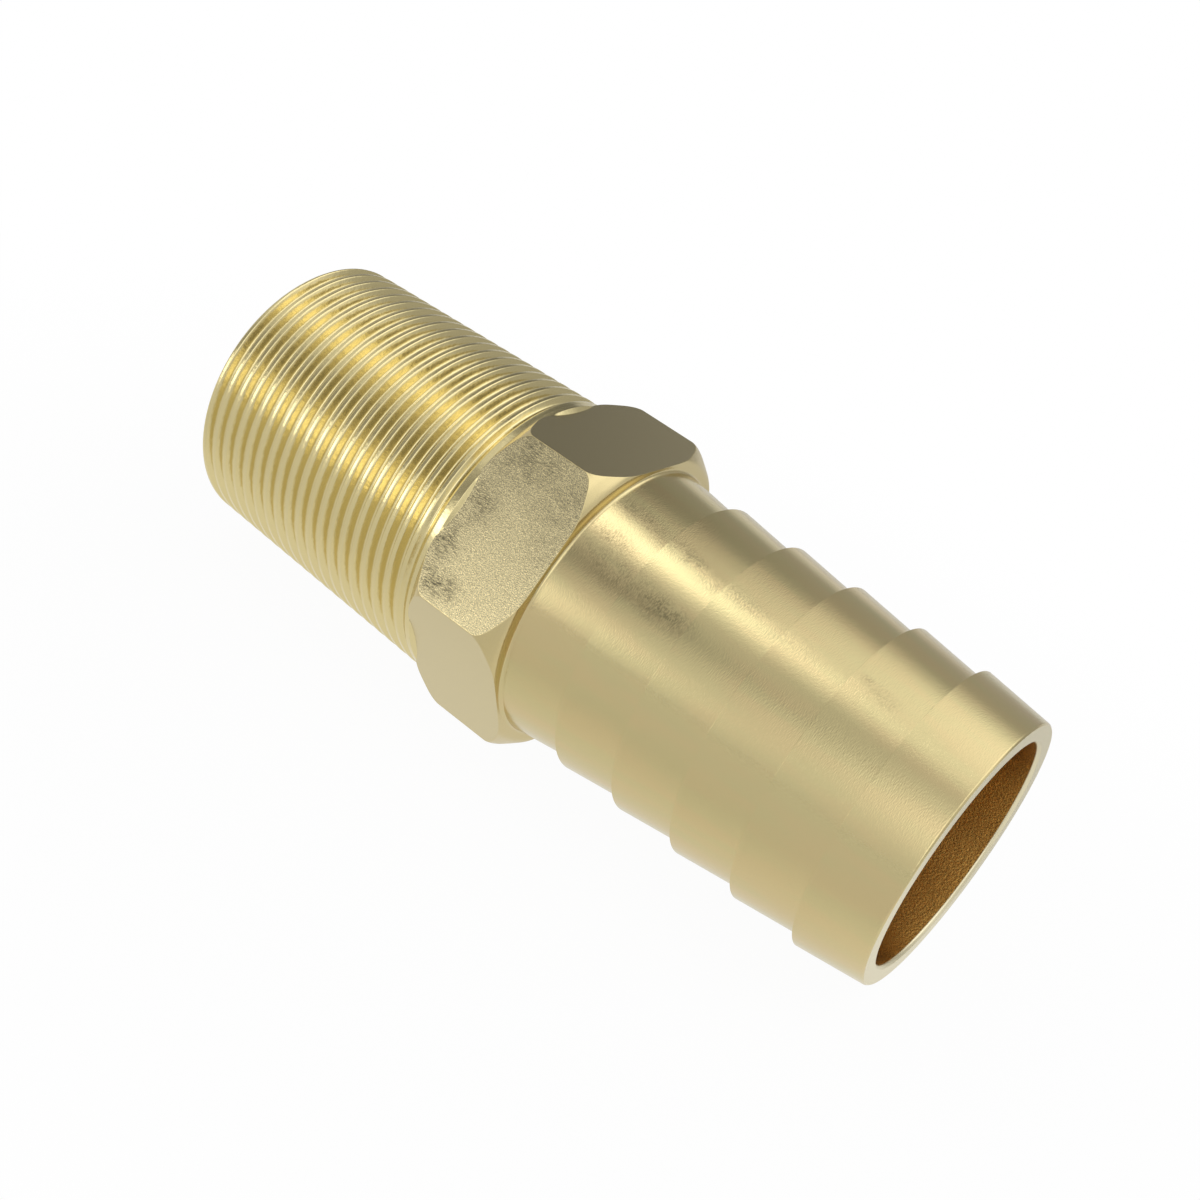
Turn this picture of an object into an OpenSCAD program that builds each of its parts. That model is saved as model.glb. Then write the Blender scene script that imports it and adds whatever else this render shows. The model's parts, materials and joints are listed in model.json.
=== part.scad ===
// Male threaded hose connector, turned from one length of brass hexagon bar.
// It lies with one of its six flats down. The axis of the bore is X: the taper pipe
// thread points towards -X and the barbed hose tail towards +X. The origin is
// on the axis, halfway along the whole length.

/* [Pipe thread] */
// Diameter over the thread crests at the small end
thread_d = 40.5; // [38.5:0.1:44]
// Length of the threaded end, from its face to the hexagon
thread_len = 43.2; // [25:0.2:60]
// Distance from one turn of the thread to the next
thread_pitch = 2.209; // [1.6:0.001:3]
// Length in which the diameter grows by one millimetre
thread_taper = 16; // [12:1:40]
// Included angle of the V groove
thread_angle = 60; // [50:1:70]
// Width of the flat left on each crest
thread_crest = 0.25; // [0.1:0.05:0.5]
// Width of the flat at the bottom of each groove
thread_root = 0.1; // [0.05:0.05:0.3]
// Length over which the groove fades out before the hexagon
thread_fade = 2.2; // [0.5:0.1:4]
// Plain land left between the faded groove and the hexagon
thread_land = 0.4; // [0.2:0.1:2]
// How far that land runs on into the hexagon, past the rounding of its end
land_run = 0.2; // [0.1:0.05:0.6]
// Chamfer on the leading end of the thread
thread_lead = 0.4; // [0.2:0.1:1.5]

/* [Hexagon] */
// Width across the flats
hex_af = 42.2; // [40:0.2:50]
// Length of the hexagon along the axis
hex_len = 15.4; // [8:0.2:25]
// How far the chamfers cut into the corners, measured along the radius
hex_chamfer = 2.4; // [0.5:0.1:3]
// Angle between a chamfer and the end face of the hexagon
hex_chamfer_angle = 45; // [20:1:60]
// Radius of the arc between each end face and its chamfer, as a share of the chamfer
hex_shoulder = 0.6; // [0.1:0.05:1]
// Radius of the arc between each chamfer and the corner lines, as a share of the chamfer
hex_round = 1.25; // [0.2:0.05:1.4]

/* [Hose tail] */
// Diameter between the barbs, which is the inside diameter of the hose
hose_d = 38.1; // [35:0.1:50]
// How far each barb stands above that diameter
barb_height = 1.25; // [0.5:0.05:2.5]
// Distance from one barb to the next
barb_pitch = 9.4; // [6:0.1:14]
// Number of barbs
barb_count = 6; // [2:1:8]
// Width of the narrow land on the edge of each barb
barb_land = 0.1; // [0.05:0.05:0.6]
// Radius of the fillet between the tail and the hexagon
root_fillet = 0.5; // [0.2:0.1:1.5]
// Broken outer edge at the open end of the tail
tail_break = 0.25; // [0.1:0.05:0.6]

/* [Bore] */
// Wall left between the bore and the bottom of the thread groove at its small end
bore_wall = 2.39; // [1.5:0.01:6]
// Broken edge at both mouths of the bore
bore_break = 0.35; // [0.1:0.05:0.6]

/* [Hidden] */
// Facets round one turn of the thread
turn_steps = 40;
// Corners of the thread section in one pitch: two on the crest and two in the root
section_steps = 4;
// Straight steps in the root fillet
fillet_steps = 6;
// Straight steps in each arc of the hexagon's ends
arc_steps = 4;
// Slope of the last of those steps, measured from the end face
last_slope = 80;
// How far the hexagon's turned ends reach out past its corner lines
corner_past = 0.3;
// Smoothness of the turned surfaces
round_fn = 96;
// How far a cut runs past the face that it opens
past = 1;
// Turns of thread swept past each end before the ends are cut
spare_turns = 1.5;

// Lengths along the axis
tail_len = barb_count * barb_pitch;
total_len = thread_len + hex_len + tail_len;
thread_x = -total_len / 2;
hex_x = thread_x + thread_len;
tail_x = hex_x + hex_len;
end_x = tail_x + tail_len;

// Width of one flank of the V groove along the axis, and the depth that it gives
flank = (thread_pitch - thread_crest - thread_root) / 2;
thread_depth = flank / tan(thread_angle / 2);

// Radii
thread_root_r = thread_d / 2 - thread_depth;
valley_r = hose_d / 2;
barb_r = valley_r + barb_height;
bore_r = thread_root_r - bore_wall;
hex_corner_r = hex_af / sqrt(3);
chamfer_r = hex_corner_r - hex_chamfer;
shoulder_r = hex_shoulder * hex_chamfer;
round_r = hex_round * hex_chamfer;

// Corners of one pitch of the thread: place along the axis, share of the depth
SECTION = [
    [0, 0],
    [thread_crest, 0],
    [thread_crest + flank, 1],
    [thread_crest + flank + thread_root, 1]
];
// The thread is swept a little past both of its ends and then cut to length
thread_turns = ceil(thread_len / thread_pitch) + 2 * spare_turns;
sweep_x = thread_x - spare_turns * thread_pitch;
// The gentle cone that the crests lie on
function crest_r(x) = (thread_d + (x - thread_x) / thread_taper) / 2;
// How much of the full depth the groove still has at x
function fade(x) = max(0, min(1, (hex_x - thread_land - x) / thread_fade));

// One corner of the swept thread: row i along the axis, step j round the turn
function thread_point(i, j) =
    let (
        corner = SECTION[i % section_steps],
        turn = floor(i / section_steps) + j / turn_steps,
        x = sweep_x + turn * thread_pitch + corner[0],
        r = crest_r(x) - corner[1] * thread_depth * fade(x),
        a = 360 * j / turn_steps
    )
    [r * cos(a), r * sin(a), x];

// Rows of corners, and the number of one corner in the list
thread_rows = section_steps * thread_turns;
function at(i, j) =
    j < turn_steps ? i * turn_steps + j : (i + section_steps) * turn_steps;

// The threaded rod before its ends are cut: one helical skin and two caps
module thread_sweep() {
    last = thread_rows;
    all_rows = last + section_steps;
    skin = [for (i = [0 : all_rows]) for (j = [0 : turn_steps - 1]) thread_point(i, j)];
    first_centre = len(skin);
    last_centre = first_centre + 1;
    low_edge = concat(
        [for (j = [0 : turn_steps]) at(0, j)],
        [for (i = [section_steps - 1 : -1 : 1]) at(i, 0)]
    );
    high_edge = concat(
        [for (j = [0 : turn_steps]) at(last, j)],
        [for (i = [section_steps - 1 : -1 : 1]) at(last + i, 0)]
    );
    polyhedron(
        points = concat(skin, [
            [0, 0, sweep_x + thread_pitch / 2],
            [0, 0, sweep_x + thread_turns * thread_pitch + thread_pitch / 2]
        ]),
        faces = concat(
            [for (i = [0 : last - 1]) for (j = [0 : turn_steps - 1])
                [at(i, j), at(i + 1, j), at(i, j + 1)]],
            [for (i = [0 : last - 1]) for (j = [0 : turn_steps - 1])
                [at(i + 1, j), at(i + 1, j + 1), at(i, j + 1)]],
            [for (k = [0 : len(low_edge) - 1])
                [low_edge[k], low_edge[(k + 1) % len(low_edge)], first_centre]],
            [for (k = [0 : len(high_edge) - 1])
                [high_edge[(k + 1) % len(high_edge)], high_edge[k], last_centre]]
        )
    );
}

// Turned blank of the threaded end: it cuts the sweep to length and chamfers its lead
module thread_blank() {
    last_x = hex_x + land_run;
    outer_r = crest_r(last_x) + past;
    lead_r = crest_r(thread_x) - thread_lead;
    rotate_extrude($fn = round_fn)
        polygon([
            [0, thread_x],
            [lead_r, thread_x],
            [outer_r, thread_x + outer_r - lead_r],
            [outer_r, last_x],
            [0, last_x]
        ]);
}

module pipe_thread() {
    intersection() {
        thread_sweep();
        thread_blank();
    }
}

// Outline of one turned end of the hexagon as [radius, depth under the end face]:
// an arc off the face, the straight chamfer, and an arc that runs out along the corners
function chamfer_outline() =
    let (
        slope = hex_chamfer_angle,
        first_r = chamfer_r - shoulder_r * tan(slope / 2),
        turn_r = hex_corner_r - round_r * (1 - sin(slope)),
        turn_depth = (turn_r - chamfer_r) * tan(slope),
        last_r = turn_r + round_r * (sin(last_slope) - sin(slope)),
        last_depth = turn_depth + round_r * (cos(slope) - cos(last_slope)),
        outer_r = hex_corner_r + corner_past
    )
    concat(
        [for (i = [0 : arc_steps])
            let (a = slope * i / arc_steps)
            [first_r + shoulder_r * sin(a), shoulder_r * (1 - cos(a))]],
        [for (i = [0 : arc_steps])
            let (a = slope + (last_slope - slope) * i / arc_steps)
            [turn_r + round_r * (sin(a) - sin(slope)),
                turn_depth + round_r * (cos(slope) - cos(a))]],
        [[outer_r, last_depth + (outer_r - last_r) * tan(last_slope)]]
    );

// Everything that the turning of one end of the hexagon leaves
module turned_end() {
    half = hex_len / 2;
    outline = chamfer_outline();
    rotate_extrude($fn = round_fn)
        polygon(concat(
            [[0, half]],
            [for (corner = outline) [corner[0], half - corner[1]]],
            [[hex_corner_r + corner_past, -half - past], [0, -half - past]]
        ));
}

// Hexagon bar with both ends turned to a rounded chamfer, two flats level
module hexagon() {
    translate([0, 0, hex_x + hex_len / 2])
        intersection() {
            rotate([0, 0, 30])
                cylinder(r = hex_corner_r, h = hex_len + 2 * past, center = true, $fn = 6);
            turned_end();
            mirror([0, 0, 1])
                turned_end();
        }
}

// Outline of one barb: a step up to the land, then a long cone down to the next valley
function barb_outline(k) =
    let (x = tail_x + k * barb_pitch)
    [
        [barb_r, x],
        [barb_r, x + barb_land],
        [valley_r, x + barb_pitch]
    ];

// Quarter-round between the face of the hexagon and the first barb
function fillet_outline() =
    [for (i = [0 : fillet_steps])
        let (a = 90 * i / fillet_steps)
        [barb_r + root_fillet * (1 - sin(a)), tail_x + root_fillet * (1 - cos(a))]];

module hose_tail() {
    barbs = [for (k = [1 : barb_count - 2]) each barb_outline(k)];
    last_x = end_x - barb_pitch;
    rotate_extrude($fn = round_fn)
        polygon(concat(
            [[0, hex_x + hex_len / 2], [barb_r + root_fillet, hex_x + hex_len / 2]],
            fillet_outline(),
            [[valley_r, tail_x + barb_pitch]],
            barbs,
            [
                [barb_r, last_x],
                [barb_r, last_x + barb_land],
                [valley_r, end_x - tail_break],
                [valley_r - tail_break, end_x],
                [0, end_x]
            ]
        ));
}

// Through bore, with its edge broken at both mouths
module bore() {
    translate([0, 0, thread_x - past])
        cylinder(r = bore_r, h = total_len + 2 * past, $fn = round_fn);
    for (side = [0, 1])
        mirror([0, 0, side])
            translate([0, 0, end_x - bore_break])
                cylinder(r1 = bore_r, r2 = bore_r + bore_break + past,
                    h = bore_break + past, $fn = round_fn);
}

module hose_connector() {
    color([0.80, 0.68, 0.42])
        rotate([0, 90, 0])
            difference() {
                union() {
                    pipe_thread();
                    hexagon();
                    hose_tail();
                }
                bore();
            }
}

hose_connector();
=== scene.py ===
# %% [markdown]
# # Male threaded hose connector
#
# The object is one piece of brass, turned from hexagon bar: a taper pipe thread, a hexagon
# for a spanner and a barbed tail for a hose, with one bore right through. The imported model
# already holds it, at the size that was worked out from its thread. This lesson makes its
# looks: one closed mesh with rounded edges, the finishes that each tool leaves on brass, and
# a plain studio round it.
#
# The model is loaded first, as a fixed frame, and its box is kept.

# %% Load the frame
import json
import math

import bpy
import numpy as np
from mathutils import Matrix, Vector


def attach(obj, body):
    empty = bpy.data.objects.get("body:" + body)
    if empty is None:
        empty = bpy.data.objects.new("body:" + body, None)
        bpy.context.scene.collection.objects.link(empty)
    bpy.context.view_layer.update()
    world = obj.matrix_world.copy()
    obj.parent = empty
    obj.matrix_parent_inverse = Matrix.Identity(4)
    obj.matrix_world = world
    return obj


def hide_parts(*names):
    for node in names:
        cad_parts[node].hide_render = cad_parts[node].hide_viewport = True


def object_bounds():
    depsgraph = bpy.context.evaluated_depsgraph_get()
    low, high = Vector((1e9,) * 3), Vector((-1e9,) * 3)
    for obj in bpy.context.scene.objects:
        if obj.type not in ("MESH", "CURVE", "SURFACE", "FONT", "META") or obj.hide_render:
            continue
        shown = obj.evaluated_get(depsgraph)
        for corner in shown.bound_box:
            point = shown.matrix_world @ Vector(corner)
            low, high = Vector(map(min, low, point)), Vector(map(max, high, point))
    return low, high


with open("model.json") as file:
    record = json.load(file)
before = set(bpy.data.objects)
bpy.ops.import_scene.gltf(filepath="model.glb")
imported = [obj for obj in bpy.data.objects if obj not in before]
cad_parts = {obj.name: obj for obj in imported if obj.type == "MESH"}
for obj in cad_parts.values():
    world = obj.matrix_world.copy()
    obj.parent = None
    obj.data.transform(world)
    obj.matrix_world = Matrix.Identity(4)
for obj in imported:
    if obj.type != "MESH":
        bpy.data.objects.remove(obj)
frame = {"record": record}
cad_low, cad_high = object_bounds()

scene = bpy.context.scene
print("CAD box in mm:", [round(v * 1000, 2) for v in (*cad_low, *cad_high)])

# %% [markdown]
# ## Sizes
#
# The box gives the sizes of the whole: where both ends are, and half the width over the
# corners of the hexagon. The record gives the bore. The sizes inside the box are the driving
# dimensions of the part, in millimetres, so that they can be checked against a drawing.

# %% Driving sizes
MM = 0.001

end_x = cad_high.x / MM
thread_x = cad_low.x / MM
corner_r = cad_high.y / MM
mounts = {m["name"]: m for m in frame["record"]["mounts"]}
bore_r = mounts["through_bore"]["dims"]["r_mm"]

thread_len = 43.2
thread_d = 40.5
thread_pitch = 2.209
thread_taper = 16
thread_angle = 60
thread_fade = 2.2
thread_land = 0.4
thread_lead = 0.4
land_run = 0.2

hex_len = 15.4
hex_chamfer = 2.4
hex_shoulder = 0.6
hex_round = 1.25

hose_d = 38.1
barb_height = 1.25
barb_pitch = 9.4
barb_count = 6
root_fillet = 0.5
tail_break = 0.25
bore_break = 0.35

hex_x = thread_x + thread_len
tail_x = hex_x + hex_len
apothem = corner_r * math.cos(math.radians(30))
valley_r = hose_d / 2
barb_r = valley_r + barb_height
chamfer_r = corner_r - hex_chamfer
print(f"bore {2 * bore_r:.2f} mm, hexagon {2 * apothem:.2f} mm over its flats")

# %% [markdown]
# ## A rule for rounded edges
#
# No edge on a turned part is perfectly sharp. Each edge catches a thin line of light, and
# that line is a large part of what the eye reads as metal. A bevel modifier would have to
# find those edges in a dense mesh, and it fails where an edge runs out into a thread. So the
# edges are rounded in the outline itself, before it is turned into a surface: each corner
# gives way to a short parabola, and one extra point on each side keeps the flat faces flat
# when the mesh is shaded smooth.

# %% Rounding the corners of an outline
def soften(corners, reach, support=0.06, steps=4):
    """Round the inner corners of an outline, or of many outlines at once.

    corners has the shape (corner, 2, ...). At a corner P between A and B, the curve is
    P + (1 - t)^2 d (A - P)/|A - P| + t^2 d (B - P)/|B - P| for t from 0 to 1. Here d is the
    reach, or 0.45 of the shorter side where that is less. A support point lies a little past
    each end of the curve. A corner whose reach is 0 stays as it is.
    """
    rows = [corners[0]]
    for before, here, after, d in zip(corners, corners[1:], corners[2:], reach):
        if d == 0:
            rows.append(here)
            continue
        back_len = np.sqrt(((before - here) ** 2).sum(0)) + 1e-9
        ahead_len = np.sqrt(((after - here) ** 2).sum(0)) + 1e-9
        back, ahead = (before - here) / back_len, (after - here) / ahead_len
        d = np.minimum(d, 0.45 * np.minimum(back_len, ahead_len))
        rows.append(here + back * np.minimum(d + support, 0.5 * back_len))
        rows += [
            here + (1 - t) ** 2 * d * back + t ** 2 * d * ahead
            for t in np.linspace(0, 1, steps)
        ]
        rows.append(here + ahead * np.minimum(d + support, 0.5 * ahead_len))
    return np.stack(rows + [corners[-1]])


# %% [markdown]
# ## The hexagon as a radius
#
# Everything on this part can be written as a radius that depends on the place along the axis
# and on the angle round it. For the hexagon the radius is the apothem divided by the cosine
# of the angle from the middle of a flat. Near a corner, the sharp edge gives way to a small
# arc, and the columns of the mesh lie closer together there. They are also closer where the
# chamfer meets the flats, because that edge is a curved line.

# %% Radius of the hexagon
corner_round = 0.16


def hexagon_radius(angle):
    """Radius of the hexagon at angle degrees, with a corner at 30 degrees and every 60.

    With c the angle from the nearest corner, the flat gives apothem / cos(30 - |c|). Inside
    the corner's arc of radius rho, whose centre is c0 = (apothem - rho) / cos 30 from the
    axis, it is c0 cos c + sqrt(rho^2 - c0^2 sin^2 c).
    """
    c = np.radians(np.mod(angle, 60) - 30)
    flat = apothem / np.cos(np.radians(30) - np.abs(c))
    c0 = (apothem - corner_round) / np.cos(np.radians(30))
    arc = c0 * np.cos(c) + np.sqrt(np.maximum(corner_round ** 2 - (c0 * np.sin(c)) ** 2, 0))
    half_width = corner_round * np.sin(np.radians(30))
    return np.where(np.abs(c) < np.arcsin(half_width / corner_r), arc, flat)


# %% Columns round the axis, as angles in degrees
coarse = np.arange(0, 360, 3.0)
near_corner = np.arange(-16.5, 16.6, 1.5)
on_corner = np.array([0.06, 0.12, 0.185, 0.4, 0.8])
one_corner = np.concatenate([near_corner, on_corner, -on_corner])
fine = np.add.outer(np.arange(30, 360, 60), one_corner).ravel()
fine = np.unique(np.round(np.concatenate([coarse, fine]), 4))
print(len(coarse), "columns on the thread and", len(fine), "on the rest")

# %% [markdown]
# ## The thread
#
# The thread is the feature that took the most skill to cut. Its groove is a V of 60 degrees
# that winds round a gentle cone and runs out just before the hexagon. In the photograph the
# crests look broad and rounded, and the grooves shallow with a curved bottom. So the section
# here has a crest of 0.6 mm and is rounded by the rule above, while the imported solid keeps
# the plain V.
#
# A ring of mesh rows at fixed places along the axis would cut across the crests and leave
# them ragged, so the rows follow the helix: each row keeps its place in the section of the
# thread, and moves one pitch along the axis in each turn. At both ends the rows are held at
# the end of the thread, where the rows that collapse onto each other are merged.

# %% Section of the thread
crest_width = 0.6
crest_reach = 0.13
root_reach = 0.75
flank = (thread_pitch - crest_width) / 2
thread_depth = flank / math.tan(math.radians(thread_angle / 2))


def thread_section():
    """One pitch of the section: place along the axis, and depth as a share of the full one."""
    corner = np.array([
        [-flank, thread_depth],
        [0, 0],
        [crest_width, 0],
        [crest_width + flank, thread_depth],
        [thread_pitch, 0],
    ])
    crest = soften(corner[:4], [crest_reach, crest_reach], support=0.08, steps=4)[1:-1]
    root = soften(corner[2:], [root_reach], support=0.04, steps=6)[1:-1]
    section = np.concatenate([crest, root])
    return section[:, 0], section[:, 1] / thread_depth


section_x, section_depth = thread_section()
print(f"groove {section_depth.max() * thread_depth:.2f} mm deep after rounding")

# %% Radius of the thread
spare_turns = 3
sweep_x = thread_x - spare_turns / 2 * thread_pitch
lead_blend = 0.06


def crest_radius(x):
    """The cone of the crests: half the small diameter, growing by 1 / (2 taper) along x."""
    return (thread_d + (x - thread_x) / thread_taper) / 2


def thread_radius(x, angle):
    """Radius of the thread at x and angle: the crest cone less the depth of the groove.

    The place in the section is (x - start) less angle / 360 pitches, wrapped into one pitch.
    The groove fades to nothing over its last millimetres, and the leading end is held under
    a chamfer cone by a soft minimum, (a + b - sqrt((a - b)^2 + s^2)) / 2.
    """
    place = np.mod(x - sweep_x - angle / 360 * thread_pitch + 1e-7, thread_pitch)
    wrapped_x = np.concatenate([section_x - thread_pitch, section_x, section_x + thread_pitch])
    depth = np.interp(place, wrapped_x, np.tile(section_depth, 3)) * thread_depth
    fade = np.clip((hex_x - thread_land - x) / thread_fade, 0, 1)
    radius = crest_radius(x) - depth * fade
    lead = crest_radius(thread_x) - thread_lead + (x - thread_x)
    return (radius + lead - np.sqrt((radius - lead) ** 2 + lead_blend ** 2)) / 2


# %% Grid of the thread
def on_axis(x, radius, angle):
    """A point from its place along the axis, its radius, and its angle from straight down."""
    a = np.radians(angle)
    x, radius, a = np.broadcast_arrays(x, radius, a)
    return np.stack([x, radius * np.sin(a), -radius * np.cos(a)], -1)


edge_break = 0.12
first_x = thread_x + edge_break
last_x = hex_x - thread_land / 2

turns = math.ceil(thread_len / thread_pitch) + spare_turns
per_turn = len(section_x)
row_x = (sweep_x + np.add.outer(np.arange(turns) * thread_pitch, section_x)).ravel()
grid_x = np.clip(row_x[:, None] + coarse / 360 * thread_pitch, first_x, last_x)
thread_points = on_axis(grid_x, thread_radius(grid_x, coarse), coarse)

count = len(coarse)
row, column = np.meshgrid(np.arange(len(row_x) - per_turn - 1), np.arange(count), indexing="ij")
number = row * count + column
beside = np.where(column < count - 1, number + 1, (row + per_turn) * count)
thread_faces = np.stack([number, beside, beside + count, number + count], -1).reshape(-1, 4)
print(per_turn, "rows in each pitch,", len(thread_faces), "faces before the ends are merged")

# %% [markdown]
# ## The hexagon
#
# From the last turn of the thread, one outline runs over the hexagon, along the tail, round
# the open end and back through the bore to the front of the thread. It is worked out for
# every column at once, because the hexagon makes it differ from one column to the next. At
# both ends of the hexagon the outline climbs the turned end up to the radius of the hexagon,
# which draws the curved edge of each flat by itself. The turned end is an arc off the face, a
# chamfer of 45 degrees and an arc that runs out along the corners.
#
# The plain land behind the thread is a little wider than the hexagon is across its flats. So
# it meets the turned end at the corners, and runs down to the middle of each flat.

# %% Turned end of the hexagon
chamfer_slope = 45
slant = math.sin(math.radians(chamfer_slope))
half_slope = math.tan(math.radians(chamfer_slope / 2))
shoulder_r = hex_shoulder * hex_chamfer
round_r = hex_round * hex_chamfer


def turned_depth(radius):
    """How far the turned end of the hexagon lies behind its end face at a radius.

    With d the distance into an arc of radius rho, the arcs give rho - sqrt(rho^2 - d^2) and,
    towards the corner, the same arc laid on its side. Between them the depth is radius less
    the chamfer's radius.
    """
    first = chamfer_r - shoulder_r * half_slope
    turn = corner_r - round_r * (1 - slant)
    into = np.clip(radius - first, 0, shoulder_r * slant)
    low_arc = shoulder_r - np.sqrt(shoulder_r ** 2 - into ** 2)
    cone = np.clip(radius, chamfer_r + shoulder_r * (slant - half_slope), turn)
    cone = cone - chamfer_r - shoulder_r * (1 - slant)
    sine = np.clip(slant + (radius - turn) / round_r, slant, 1)
    high_arc = round_r * (slant - np.sqrt(1 - sine ** 2))
    return low_arc + cone + high_arc


# %% Outline of the hexagon
hex_r = hexagon_radius(fine)
blank = np.ones_like(fine)
join_gap = 0.05
meet_blend = 0.1
climb_rows = 8
climb_bias = 1.3
fillet_gap = 0.1
land_reach = 0.08
edge_reach = 0.1


def outline(points):
    """Stack (x, radius) pairs, each a number or one value a column, as (point, 2, column)."""
    return np.stack([np.stack([x * blank, r * blank]) for x, r in points])


land_r = crest_radius(hex_x)
on_face = np.clip((hex_r - land_r) / meet_blend, 0, 1)
land_end = hex_x + land_run + (turned_depth(land_r) - land_run) * on_face


def off_land(r):
    """Where the land gives way: it runs down to the flats at 45 degrees, or meets the end."""
    return np.maximum(hex_x + turned_depth(r), land_end + np.maximum(land_r - r, 0))


# The rows of a climb lie a little closer together towards its outer end
share = 1 - (1 - np.linspace(0, 1, climb_rows + 2)[1:-1]) ** climb_bias
climb = [land_r + (hex_r - land_r) * q for q in share]
inner_r = barb_r + root_fillet + fillet_gap
descend = [inner_r + (hex_r - inner_r) * q for q in share[::-1]]

hexagon_line = soften(
    outline(
        [(last_x + join_gap, crest_radius(last_x + join_gap)), (land_end, land_r)]
        + [(off_land(r), r) for r in climb]
        + [(off_land(hex_r), hex_r), (tail_x - turned_depth(hex_r), hex_r)]
        + [(tail_x - turned_depth(r), r) for r in descend]
        + [(tail_x, inner_r), (tail_x, barb_r + root_fillet)]
    ),
    [land_reach] + [0] * climb_rows + [edge_reach, edge_reach] + [0] * (climb_rows + 1),
)
print(len(hexagon_line), "rows over the hexagon")

# %% [markdown]
# ## The hose tail
#
# The tail starts with a small fillet, so that the part doesn't crack there. Then come the
# barbs: each is a step up and a long cone down towards the open end, so that the hose slides
# on easily and is gripped when it is pulled. The edge of a barb stays almost sharp, and the
# valley under it is rounded more.

# %% Outline of the tail
fillet_steps = 6
turn = np.linspace(0, math.pi / 2, fillet_steps + 1)[1:]
fillet_line = outline([
    (tail_x + root_fillet * (1 - math.cos(t)), barb_r + root_fillet * (1 - math.sin(t)))
    for t in turn
])

barb_corners = [(tail_x + root_fillet, barb_r)]
for k in range(1, barb_count):
    barb_x = tail_x + k * barb_pitch
    barb_corners += [(barb_x, valley_r), (barb_x, barb_r)]
barb_corners += [
    (end_x - tail_break, valley_r),
    (end_x, valley_r - tail_break),
    (end_x, bore_r + bore_break),
    (end_x - bore_break, bore_r),
    (0, bore_r),
]
valley_reach, barb_reach = 0.12, 0.012
mouth_reach = [0.1, 0.1, 0.08, 0.15]
tail_reach = [valley_reach, barb_reach] * (barb_count - 1) + mouth_reach
tail_line = soften(outline(barb_corners), tail_reach, support=0.03)
print(len(fillet_line) + len(tail_line), "rows from the fillet to the middle of the bore")

# %% Outline of the front, and all rows together
front_reach = [0.15, 0.08, 0.08]
front_line = soften(
    outline([
        (0, bore_r),
        (thread_x + bore_break, bore_r),
        (thread_x, bore_r + bore_break),
        (thread_x, thread_radius(thread_x, fine)),
        (first_x - join_gap, thread_radius(first_x - join_gap, fine)),
    ]),
    front_reach,
)

body_line = np.concatenate([hexagon_line, fillet_line, tail_line, front_line])
body_points = on_axis(body_line[:, 0], body_line[:, 1], fine)
print(len(body_line), "rows from the thread round to the front face")

# %% [markdown]
# ## One closed mesh
#
# The thread has fewer columns than the rest, so at each of its ends every step of its ring is
# joined to several steps of the other ring by one face. All points that fall on each other
# are merged, and faces that lose a side in that are trimmed or dropped. What is left is one
# closed skin without a seam.

# %% Merge the two grids
def ring_faces(rows, columns):
    """Faces of a grid whose columns close on themselves, as four corner numbers each."""
    r, c = np.meshgrid(np.arange(rows - 1), np.arange(columns), indexing="ij")
    near, far = r * columns + c, r * columns + (c + 1) % columns
    return np.stack([near, far, far + columns, near + columns], -1).reshape(-1, 4)


thread_points = thread_points.reshape(-1, 3)
body_points = body_points.reshape(-1, 3)
points = np.concatenate([thread_points, body_points])
body_faces = ring_faces(len(body_line), len(fine)) + len(thread_points)

_, first_use, merged = np.unique(
    np.round(points, 6), axis=0, return_index=True, return_inverse=True
)
merged = merged.ravel()
skin_points = points[first_use]

faces = merged[np.concatenate([thread_faces, body_faces])]
repeats = faces == np.roll(faces, -1, axis=1)
kept = repeats.sum(1) < 2
skin = [list(dict.fromkeys(face)) for face in faces[kept].tolist()]
print(len(points), "points,", len(skin_points), "after merging")

# %% Join the rings and make the mesh
steps = np.searchsorted(fine, coarse)
front_ring = merged[:count]
hexagon_ring = merged[(len(row_x) - per_turn - 1) * count:][:count]
first_row = merged[len(thread_points):][: len(fine)]
last_row = merged[-len(fine):]
for j in range(count):
    k = (j + 1) % count
    span = np.arange(steps[j], steps[k] + 1 if k else len(fine) + 1) % len(fine)
    skin.append([hexagon_ring[j], hexagon_ring[k], *first_row[span[::-1]]])
    skin.append([*last_row[span], front_ring[k], front_ring[j]])

mesh = bpy.data.meshes.new("connector_skin")
mesh.from_pydata((skin_points * MM).tolist(), [], [[int(n) for n in face] for face in skin])
mesh.shade_smooth()
connector = bpy.data.objects.new("connector_skin", mesh)
scene.collection.objects.link(connector)

sides = sum(len(face) for face in skin)
print(len(skin), "faces, closed:", sides == 2 * len(mesh.edges))

# %% [markdown]
# ## Which tool cut which face
#
# The finish follows the tool. A thread like this can be cut with a die, and the land behind
# it is given the same finish. The flats are the drawn skin of the bar, and the one that
# faces the camera has been rubbed. The chamfers and end faces of the hexagon are turned, and
# so are the tail and its fillet, which shine more. Both ends are faced, together with the
# broken edges of the bore, and the bore itself is drilled. Each face of the mesh gets its
# finish from where it is and which way it looks.

# %% Measure each face
centre = np.zeros(len(mesh.polygons) * 3)
normal = np.zeros(len(mesh.polygons) * 3)
mesh.polygons.foreach_get("center", centre)
mesh.polygons.foreach_get("normal", normal)
centre = centre.reshape(-1, 3) / MM
normal = normal.reshape(-1, 3)

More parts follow.
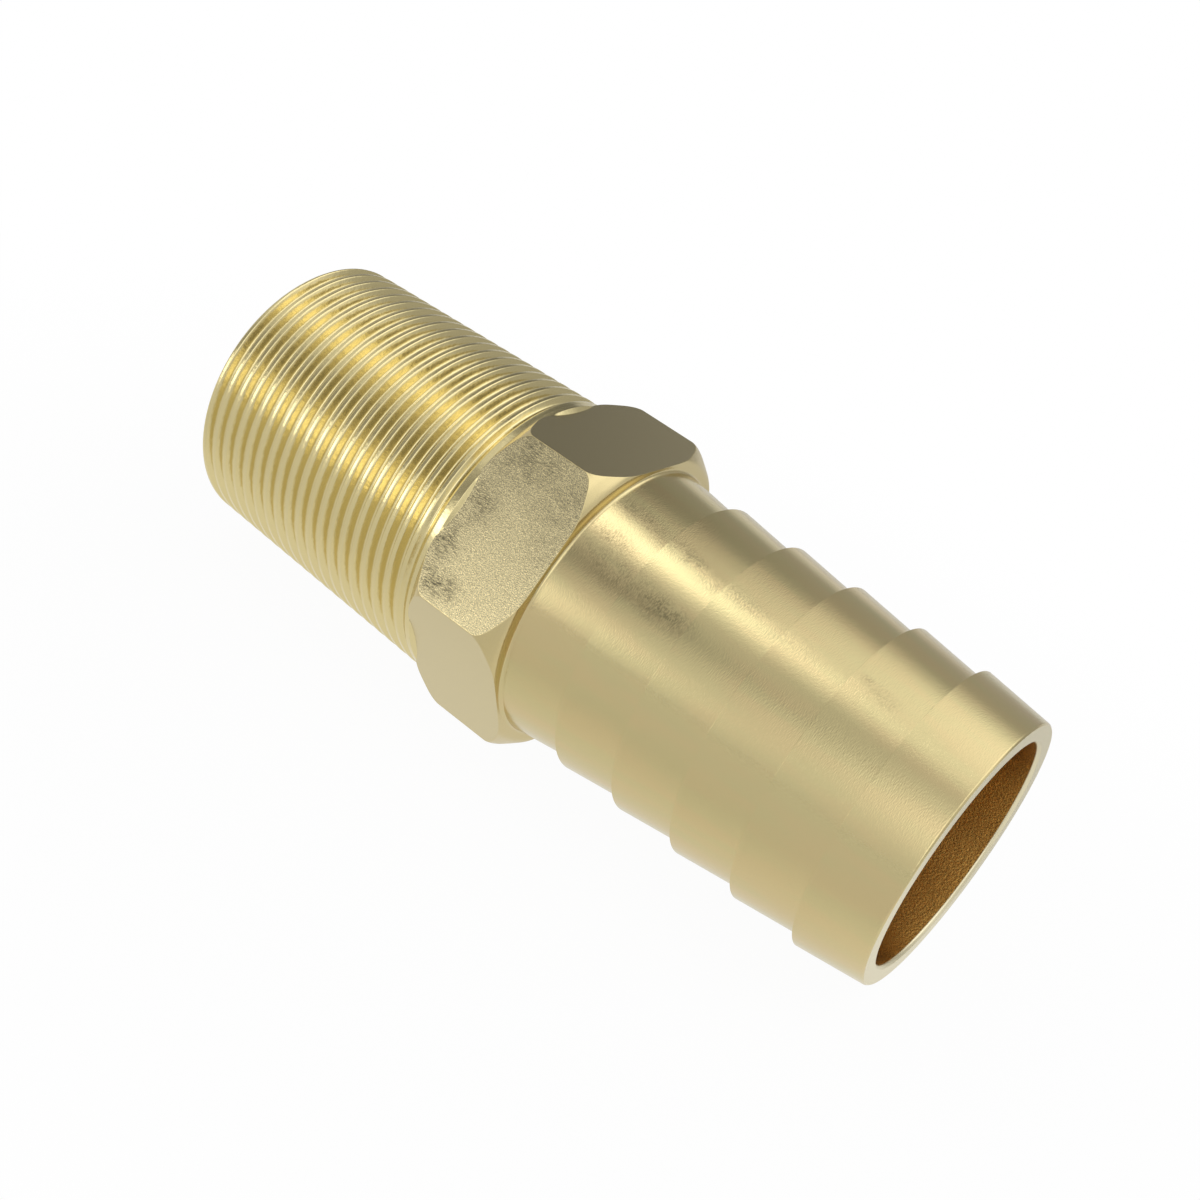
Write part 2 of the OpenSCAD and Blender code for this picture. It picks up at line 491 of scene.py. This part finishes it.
face_x = centre[:, 0]
radius = np.hypot(centre[:, 1], centre[:, 2])
outward = (centre[:, 1:] * normal[:, 1:]).sum(1) / radius
flat_number = np.round(np.degrees(np.arctan2(centre[:, 1], -centre[:, 2])) / 60)
flat_angle = np.radians(60 * flat_number)
faces_flat = normal[:, 1] * np.sin(flat_angle) - normal[:, 2] * np.cos(flat_angle)

# %% Finish of each face
THREADED, TURNED, DRAWN, TAIL, BORED, FACED, RUBBED = range(7)
rubbed_flat = -2
land_margin = 1.0
tail_margin = 0.02
mouth_depth = bore_break + 0.2
end_on = 0.98
flat_on = math.cos(math.radians(4))

finish = np.full(len(centre), TURNED, dtype=np.int32)
finish[(face_x < hex_x + land_margin) & (radius < land_r)] = THREADED
finish[np.abs(normal[:, 0]) > end_on] = TURNED
in_hexagon = (face_x > hex_x) & (face_x < tail_x)
on_flat = in_hexagon & (faces_flat > flat_on)
finish[on_flat] = DRAWN
finish[on_flat & (flat_number == rubbed_flat)] = RUBBED
finish[face_x > tail_x + tail_margin] = TAIL
finish[outward < -0.5] = BORED
finish[(np.abs(face_x) > end_x - mouth_depth) & (outward < 0.5)] = FACED
mesh.polygons.foreach_set("material_index", finish)
print("faces of each finish:", np.bincount(finish).tolist())

# %% [markdown]
# ## Small helpers for nodes
#
# A material is a graph of nodes. These few helpers add a node, do a sum, make a soft step
# and make noise of a size in millimetres, so that each finish below reads as a short recipe.
# All patterns are on Object coordinates, which stay with the part however it is seen.

# %% Node helpers
def add_node(tree, kind, **values):
    """Add a node; a value is a socket to link, or a number or tuple to set."""
    made = tree.nodes.new("ShaderNode" + kind)
    for name, value in values.items():
        by_number = name[1:].isdigit()
        slot = made.inputs[int(name[1:]) if by_number else name.replace("_", " ")]
        if isinstance(value, bpy.types.NodeSocket):
            tree.links.new(value, slot)
        else:
            slot.default_value = value
    return made


def maths(tree, operation, a, b=0.0):
    """One sum on two values, each a socket or a number."""
    made = add_node(tree, "Math", i0=a, i1=b)
    made.operation = operation
    return made.outputs[0]


def vector_maths(tree, operation, *values):
    """One sum on vectors; the node comes back, because its output depends on the sum."""
    made = add_node(tree, "VectorMath", **{f"i{i}": value for i, value in enumerate(values)})
    made.operation = operation
    return made


def ramp(tree, value, low, high, at_low=0.0, at_high=1.0):
    """A soft step from at_low, where value is low, to at_high, where it is high."""
    made = add_node(
        tree, "MapRange", Value=value, From_Min=low, From_Max=high, To_Min=at_low, To_Max=at_high
    )
    made.interpolation_type = "SMOOTHSTEP"
    return made.outputs["Result"]


def noise(tree, where, size_mm, stretch=(1, 1, 1), detail=2.0):
    """Noise with features of size_mm, made longer by stretch along each axis."""
    scale = [1 / (size_mm * MM * k) for k in stretch]
    sized = add_node(tree, "Mapping", Vector=where, Scale=scale)
    made = add_node(tree, "TexNoise", Vector=sized.outputs[0], Scale=1.0, Detail=detail)
    return made.outputs["Fac"]


# %% [markdown]
# ## Brass
#
# Brass is a mirror that tints what it reflects: it loses a little green and most of the blue
# each time light meets it. So it is a fully metallic shader, and its colour goes in once.
# Where light goes to and fro, in the grooves of the thread and in the bore, the tint deepens
# by itself. What differs from tool to tool is the small relief, which is noise that tips the
# light a little, and the tint, which was matched to the photograph.
#
# The real part has been handled too, and some light and shade is painted into the colour as
# well. Dark patches lie along one edge of the rubbed flat: partly scuff marks, and partly
# painted shade where the flat would mirror too much light. On the tail beside the hexagon lies
# a dark smudge that is partly painted shade, in the dark gap between two reflections; the
# bright streak on the tail gets a sandy edge of painted shade; darker patches lie along it on
# the last barbs; and faint streaks, redder or greener than the rest, are a painted tint that
# stands in for coloured reflections. A picture of all this could be wrapped round the part,
# but it would blur close up and show a seam. So each patch is an oval with a place, a size and
# a strength in the colour. Fine noise, drawn out along one direction, breaks it into strokes,
# and coarse noise breaks it into clouds. Noise stays near 0.5 for the most part, so each soft
# step below lies there.

# %% Scuff marks, painted shade, pits and painted streaks
STROKE_MM, CLOUD_MM, PIT_MM, STREAK_MM = 0.16, 2.0, 0.13, 3.0
between_strokes = 0.3
between_clouds = 0.4
along_streaks = (6, 1, 1)


def patch(tree, where, centre, size):
    """An oval patch on the surface: 1 in its middle, 0 past its half-sizes in millimetres."""
    away = vector_maths(tree, "SUBTRACT", where, [v * MM for v in centre])
    scaled = vector_maths(tree, "MULTIPLY", away.outputs[0], [1 / (v * MM) for v in size])
    length = vector_maths(tree, "LENGTH", scaled.outputs[0])
    return ramp(tree, length.outputs["Value"], 1.0, 0.1)


def scuff_and_shade_darkness(tree, where, marks, stroke):
    """How dark the patches are, scuff marks and painted shade alike: the strongest patch, times
    its strokes, times its clouds.
    """
    strokes = ramp(tree, noise(tree, where, STROKE_MM, stroke, 3.0), 0.4, 0.62)
    strokes = ramp(tree, strokes, 0.0, 1.0, between_strokes, 1.0)
    clouds = ramp(tree, noise(tree, where, CLOUD_MM), 0.3, 0.6, between_clouds, 1.0)
    drawn = maths(tree, "MULTIPLY", clouds, strokes)
    shade = 0.0
    for centre, size, strength in marks:
        spot = maths(tree, "MULTIPLY", patch(tree, where, centre, size), strength)
        shade = maths(tree, "MAXIMUM", spot, shade)
    return maths(tree, "MULTIPLY", shade, drawn)


def pitting(tree, where, depth):
    """Fine specks that are darker by up to depth."""
    return ramp(tree, noise(tree, where, PIT_MM, detail=1.0), 0.4, 0.6, 0.0, depth)


def streaked(tree, where, colour, reflection_tint):
    """The colour, redder in some streaks along the axis and greener in others: a painted tint
    that stands in for coloured reflections.

    With s between -blush and blush, red is multiplied by 1 + s and green by 1 - s / 4.
    """
    s = ramp(tree, noise(tree, where, STREAK_MM, along_streaks), 0.35, 0.65, -reflection_tint, reflection_tint)
    change = (colour[0], -colour[1] / 4, 0.0)
    return vector_maths(tree, "MULTIPLY_ADD", s, change, colour).outputs[0]


# %% One recipe for every finish
def brass(name, colour, rough, relief, marks=(), stroke=(1, 1, 1), pits=0.0, reflection_tint=0.0):
    """A metallic material, whose base colour is the streaked colour times 1 less its shade.

    relief lists bumps as (size, stretch, depth), and marks lists dark patches, some scuff marks
    and some painted shade, as (centre, size, strength), all in millimetres. stroke is how much
    longer the strokes of the patches are along each axis. pits is the strength of the specks, and
    the last argument that of the streaks, a painted tint in place of coloured reflections.
    """
    material = bpy.data.materials.new(name)
    material.use_nodes = True
    tree = material.node_tree
    shader = tree.nodes["Principled BSDF"]
    shader.inputs["Metallic"].default_value = 1
    shader.inputs["Base Color"].default_value = (*colour, 1)
    shader.inputs["Roughness"].default_value = rough
    where = add_node(tree, "TexCoord").outputs["Object"]

    height = 0.0
    for size, stretch, depth in relief:
        layer = maths(tree, "MULTIPLY", noise(tree, where, size, stretch), depth * MM)
        height = maths(tree, "ADD", layer, height)
    bump = add_node(tree, "Bump", Height=height, Distance=1.0, Strength=1.0)
    tree.links.new(bump.outputs[0], shader.inputs["Normal"])

    if marks:
        shade = scuff_and_shade_darkness(tree, where, marks, stroke)
        if pits:
            shade = maths(tree, "ADD", shade, pitting(tree, where, pits))
        tint = vector_maths(tree, "SCALE", streaked(tree, where, colour, reflection_tint))
        tree.links.new(maths(tree, "SUBTRACT", 1.0, shade), tint.inputs["Scale"])
        tree.links.new(tint.outputs[0], shader.inputs["Base Color"])
    return material


# %% [markdown]
# The patches were placed one by one. Each line below is one of them: its centre, its half-sizes
# along the three axes, and how dark it is. Where two overlap, the darker one counts. The
# bore has two as well: painted shade where its wall turns away beside the mouth.

# %% Where the scuff marks and painted shade are
# On the rubbed flat: partly scuff marks, partly painted shade that darkens where the flat mirrors
# too much light
flat_scuff_and_shade_marks = [
    ((-10.5, -23.1, 2.3), (5.5, 3.0, 3.0), 0.65),
    ((-13.0, -20.8, 6.2), (4.0, 5.0, 6.0), 0.5),
    ((-12.2, -17.5, 12.0), (5.0, 5.0, 5.0), 0.42),
    ((-9.8, -13.3, 19.2), (9.0, 6.0, 7.0), 0.38),
    ((-1.8, -14.8, 16.6), (7.0, 5.0, 7.0), 0.3),
    ((-1.0, -17.3, 12.3), (4.0, 4.0, 5.0), 0.2),
]
# A dark smudge beside the hexagon, partly painted shade in the dark gap between two reflections
smudge_and_shade_beside_hexagon = [
    ((5.0, -13.8, 14.0), (6.0, 4.0, 4.0), 0.25),
    ((9.0, -14.6, 13.2), (8.5, 3.4, 3.4), 0.4),
    ((15.5, -15.0, 12.8), (7.5, 2.8, 2.8), 0.5),
]
# Painted shade: dark strokes that give the bright streak on the tail a sandy edge
painted_shade_at_streak_edge = [
    ((5.0, -8.0, 18.0), (9.0, 2.2, 2.0), 0.34),
    ((13.0, -9.0, 17.6), (10.0, 2.2, 2.0), 0.34),
    ((21.0, -9.8, 17.1), (10.0, 2.2, 2.0), 0.26),
    ((29.0, -10.4, 16.7), (10.0, 2.2, 2.0), 0.16),
    # This one joins the sandy edge of painted shade to the smudge beside the hexagon
    ((4.5, -12.2, 15.9), (5.5, 2.4, 2.4), 0.4),
]
# Darker patches along the bright streak on the last barbs
dark_on_last_barbs = [
    ((40.3, -9.4, 17.3), (1.8, 1.2, 1.2), 0.34),
    ((43.0, -9.8, 17.1), (4.5, 2.0, 2.0), 0.16),
    ((43.0, -13.0, 14.5), (14.0, 9.0, 9.0), 0.06),
]
tail_smudge_and_shade = smudge_and_shade_beside_hexagon + painted_shade_at_streak_edge + dark_on_last_barbs
# Painted shade in the bore, where its wall turns away beside the mouth
bore_painted_shade = [
    ((56.0, -5.0, -15.5), (4.0, 7.0, 5.0), 0.4),
    ((54.8, 15.0, 9.0), (4.0, 5.0, 8.0), 0.35),
]
print(len(flat_scuff_and_shade_marks), "patches on the flat,", len(tail_smudge_and_shade), "on the tail")

# %% [markdown]
# Now the seven finishes. The die leaves the thread bright and a little wavy. Turning leaves
# fine rings round the axis. The drawn skin of the bar is smooth and a shade cooler, and the
# rubbed flat is paler and pitted. The faced ends are the palest. The drilled bore is rough,
# and its deep orange-brown is a painted tint that stands in for light bouncing inside it.

# %% The seven finishes
gold = (0.66, 0.55, 0.285)
bright_gold = (0.76, 0.65, 0.34)
drawn_gold = (0.66, 0.565, 0.32)
pale_gold = (0.77, 0.7, 0.48)
rubbed_gold = (0.83, 0.715, 0.41)
# Deep orange-brown for the bore: a painted tint that stands in for light bouncing inside it
painted_bounce_brown = (0.8, 0.475, 0.125)
even = (1, 1, 1)
along_axis = (5, 1, 1)
round_axis = (1, 6, 6)
short_rings = (1, 3, 3)
short_strokes = (1, 2.5, 2.5)

finishes = {
    THREADED: brass(
        "threaded_brass", bright_gold, 0.2, [(1.0, even, 0.03), (0.3, even, 0.008)]
    ),
    TURNED: brass("turned_brass", gold, 0.24, [(0.2, round_axis, 0.004)]),
    DRAWN: brass("drawn_brass", drawn_gold, 0.24, [(0.15, even, 0.006)]),
    # The tail's colour carries painted shade: a dark smudge beside the hexagon, a sandy edge
    # along the bright streak, and darker patches on the last barbs
    TAIL: brass(
        "tail_brass", gold, 0.18, [(0.13, short_rings, 0.015)],
        marks=tail_smudge_and_shade, stroke=short_strokes, reflection_tint=0.022,
    ),
    # The bore's colour and its darker patches are painted: the tint of light bouncing inside it,
    # and shade beside the mouth
    BORED: brass(
        "bored_brass", painted_bounce_brown, 0.35, [(0.3, even, 0.04)],
        marks=bore_painted_shade, stroke=even, pits=0.3,
    ),
    FACED: brass("faced_brass", pale_gold, 0.35, [(0.3, even, 0.006)]),
    # The rubbed flat's dark patches are partly scuff marks and partly painted shade
    RUBBED: brass(
        "rubbed_brass", rubbed_gold, 0.24, [(0.15, even, 0.02)],
        marks=flat_scuff_and_shade_marks, stroke=along_axis, pits=0.35,
    ),
}
for number in sorted(finishes):
    mesh.materials.append(finishes[number])
print([material.name for material in mesh.materials])

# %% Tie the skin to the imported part
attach(connector, "root")
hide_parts("hose_connector")

# %% [markdown]
# ## Camera
#
# The camera was worked out from the photograph: how much the connector narrows from its near
# end to its far end gives the distance, and the width of its open mouth gives how far the
# axis is turned out of the picture.

# %% Camera at the photograph's viewing angle
PICTURE = 1200
focal_px = 1650.1
turn_out = math.radians(23.74)
tilt_in_picture = math.radians(35.48)
lean = math.radians(58.8)
distance = 0.220
aim = Vector((-0.0001, 0, 0))

along = Vector((1, 0, 0))
near_side = Vector((0, -math.sin(lean), math.cos(lean)))
upper_side = Vector((0, math.cos(lean), math.sin(lean)))
back = math.sin(turn_out) * along + math.cos(turn_out) * near_side
level = math.cos(turn_out) * along - math.sin(turn_out) * near_side
right = math.cos(tilt_in_picture) * level + math.sin(tilt_in_picture) * upper_side
up = -math.sin(tilt_in_picture) * level + math.cos(tilt_in_picture) * upper_side

lens = bpy.data.cameras.new("camera")
lens.sensor_width = 36
lens.lens = lens.sensor_width * focal_px / PICTURE
lens.clip_start = 0.01
lens.clip_end = 20
camera = bpy.data.objects.new("camera", lens)
spot = aim + distance * back
rotation = Matrix((right, up, back)).transposed().to_4x4()
camera.matrix_world = Matrix.Translation(spot) @ rotation
scene.collection.objects.link(camera)
scene.camera = camera
print("camera at", [round(v, 4) for v in spot], "lens", round(lens.lens, 2), "mm")

# %% [markdown]
# ## Floor
#
# The floor is matt and pale, and the part lies on it. The camera should see it as white, but
# more light would burn out the brass. So for the camera the floor is mixed with a plain white
# glow. Near the part a small share of the matt floor is left in the mix, which keeps a faint
# shadow, and further out there is none. The brass mirrors the same glow, but only in a strip
# under the part, because its lower side is bright in the photograph.

# %% Helpers for the studio
def sheet(name, points, faces, material):
    """A mesh object of the studio, with one material."""
    made = bpy.data.objects.new(name, bpy.data.meshes.new(name))
    made.data.from_pydata(points, [], faces)
    made.data.materials.append(material)
    scene.collection.objects.link(made)
    return made


def plain_material(name):
    """A material with nothing in it yet but its output."""
    material = bpy.data.materials.new(name)
    material.use_nodes = True
    material.node_tree.nodes.remove(material.node_tree.nodes["Principled BSDF"])
    return material, material.node_tree


# %% Floor, in metres
TENT_R = 3.0
FLOOR_GREY = 0.78
white_from, white_to, least_white = 0.06, 0.16, 0.96
strip_from, strip_to, strip_share = 0.012, 0.05, 0.75
floor_gap = 0.00002
rim_steps = 96

pale, tree = plain_material("pale_floor")
ray = add_node(tree, "LightPath")
where = add_node(tree, "TexCoord").outputs["Object"]
reach = vector_maths(tree, "LENGTH", where)
whiteness = ramp(tree, reach.outputs["Value"], white_from, white_to, least_white, 1.0)
seen = maths(tree, "MULTIPLY", ray.outputs["Is Camera Ray"], whiteness)
across = maths(tree, "ABSOLUTE", add_node(tree, "SeparateXYZ", Vector=where).outputs["Y"])
strip = ramp(tree, across, strip_from, strip_to, strip_share, 0.0)
mirrored = maths(tree, "MULTIPLY", ray.outputs["Is Glossy Ray"], strip)
matt = add_node(tree, "BsdfDiffuse", Color=(FLOOR_GREY, FLOOR_GREY, FLOOR_GREY, 1))
white = add_node(tree, "Emission", Strength=1.0)
glowing = maths(tree, "ADD", seen, mirrored)
mixed = add_node(tree, "MixShader", Fac=glowing, i1=matt.outputs[0], i2=white.outputs[0])
tree.links.new(mixed.outputs[0], tree.nodes["Material Output"].inputs["Surface"])

around = np.arange(rim_steps) * 2 * math.pi / rim_steps
floor_z = cad_low.z - floor_gap
rim = TENT_R * np.stack([np.cos(around), np.sin(around), 0 * around], -1) + [0, 0, floor_z]
sheet("floor", rim.tolist(), [list(range(len(around)))], pale)
print("floor at", round(floor_z / MM, 2), "mm")

# %% [markdown]
# ## Light tent
#
# Brass shows what stands round it more than its own colour, so the studio is most of its
# looks. The part lies in a light tent: a dim dome with soft round panels in it, which glows
# and needs no lamp. How bright a face of the part is in the photograph, and which way it
# mirrors, tell where each panel is.

# %% Panels as (towards, degrees that are full, degrees where it ends, strength)
PANELS = [
    # Overhead: a small bright one draws the streak on the tail, weaker ones widen it
    ((-0.28, -0.1, 0.955), 3, 15, 1.6),
    ((-0.5, -0.2, 0.84), 5, 22, 0.55),
    ((-0.58, -0.46, 0.68), 3, 16, 0.2),
    ((-0.14, -0.38, 0.91), 4, 23, 0.5),
    ((-0.1, -0.26, 0.96), 3, 12, 0.35),
    # A wide one over the hose end, and a wide one low in front
    ((0.39, 0.23, 0.89), 4, 44, 1.3),
    ((0.25, -0.91, 0.33), 2, 44, 0.62),
    # Past the hose end, for what looks that way: flanks of the thread, chamfer, end face
    ((0.95, 0.2, -0.15), 20, 46, 0.5),
    ((0.6, -0.6, 0.55), 10, 42, 0.85),
    ((0.85, 0.18, 0.5), 8, 26, 0.18),
    # Past the threaded end, for the other flanks
    ((-0.95, 0.15, 0.25), 20, 48, 0.5),
    # Low in front, towards the threaded end: the rubbed flat and the lower half show these
    ((-0.5, -0.83, 0.15), 5, 40, 0.2),
    ((-0.398, -0.891, 0.219), 4, 18, 1.08),
    ((-0.66, -0.74, 0.12), 3, 13, 1.6),
    ((-0.52, -0.84, 0.10), 3, 12, 1.2),
    # Behind, weak: they draw the upper outline
    ((0.38, 0.85, 0.38), 25, 55, 0.28),
    ((-0.4, 0.92, -0.02), 8, 22, 0.5),
]
dome_glow = 0.15
print(len(PANELS), "panels in the tent")

# %% Cloth of the tent
cloth, tree = plain_material("tent_cloth")
where = add_node(tree, "TexCoord").outputs["Object"]
direction = vector_maths(tree, "NORMALIZE", where)


def panel(towards, full, end, strength):
    """A round panel: strength inside full degrees of its centre, none past end degrees."""
    facing = vector_maths(tree, "DOT_PRODUCT", direction.outputs[0], Vector(towards).normalized())
    low, high = math.cos(math.radians(end)), math.cos(math.radians(full))
    return ramp(tree, facing.outputs["Value"], low, high, 0.0, strength)


glow = dome_glow
for one in PANELS:
    glow = maths(tree, "ADD", panel(*one), glow)
lit = add_node(tree, "Emission", Strength=glow)
tree.links.new(lit.outputs[0], tree.nodes["Material Output"].inputs["Surface"])
cloth.cycles.emission_sampling = "NONE"

# %% Dome of the tent
dome_step = 5
rises = np.radians(np.arange(0, 90, dome_step))
rise, turn_round = np.meshgrid(rises, around, indexing="ij")
shell = np.stack([
    np.cos(rise) * np.cos(turn_round), np.cos(rise) * np.sin(turn_round), np.sin(rise)
], -1).reshape(-1, 3)
shell = TENT_R * np.concatenate([shell, [[0, 0, 1]]])
top_ring = np.arange(len(shell) - 1 - len(around), len(shell) - 1)
cap = np.stack([top_ring, np.roll(top_ring, -1), np.full(len(around), len(shell) - 1)], -1)
walls = ring_faces(len(rise), len(around))[:, ::-1]
tent = sheet("tent", shell.tolist(), walls.tolist() + cap[:, ::-1].tolist(), cloth)
tent.location.z = floor_z
tent.visible_camera = False
print("tent", 2 * TENT_R, "m across,", len(walls) + len(cap), "faces")

# %% [markdown]
# The camera looks past the tent to a plain white world, so that nothing behind the part
# shows. The Standard view keeps white as white.

# %% White beyond the tent
world = bpy.data.worlds.new("white_world")
scene.world = world
world.use_nodes = True
world.node_tree.nodes["Background"].inputs["Color"].default_value = (1, 1, 1, 1)
world.node_tree.nodes["Background"].inputs["Strength"].default_value = 1

scene.view_settings.view_transform = "Standard"
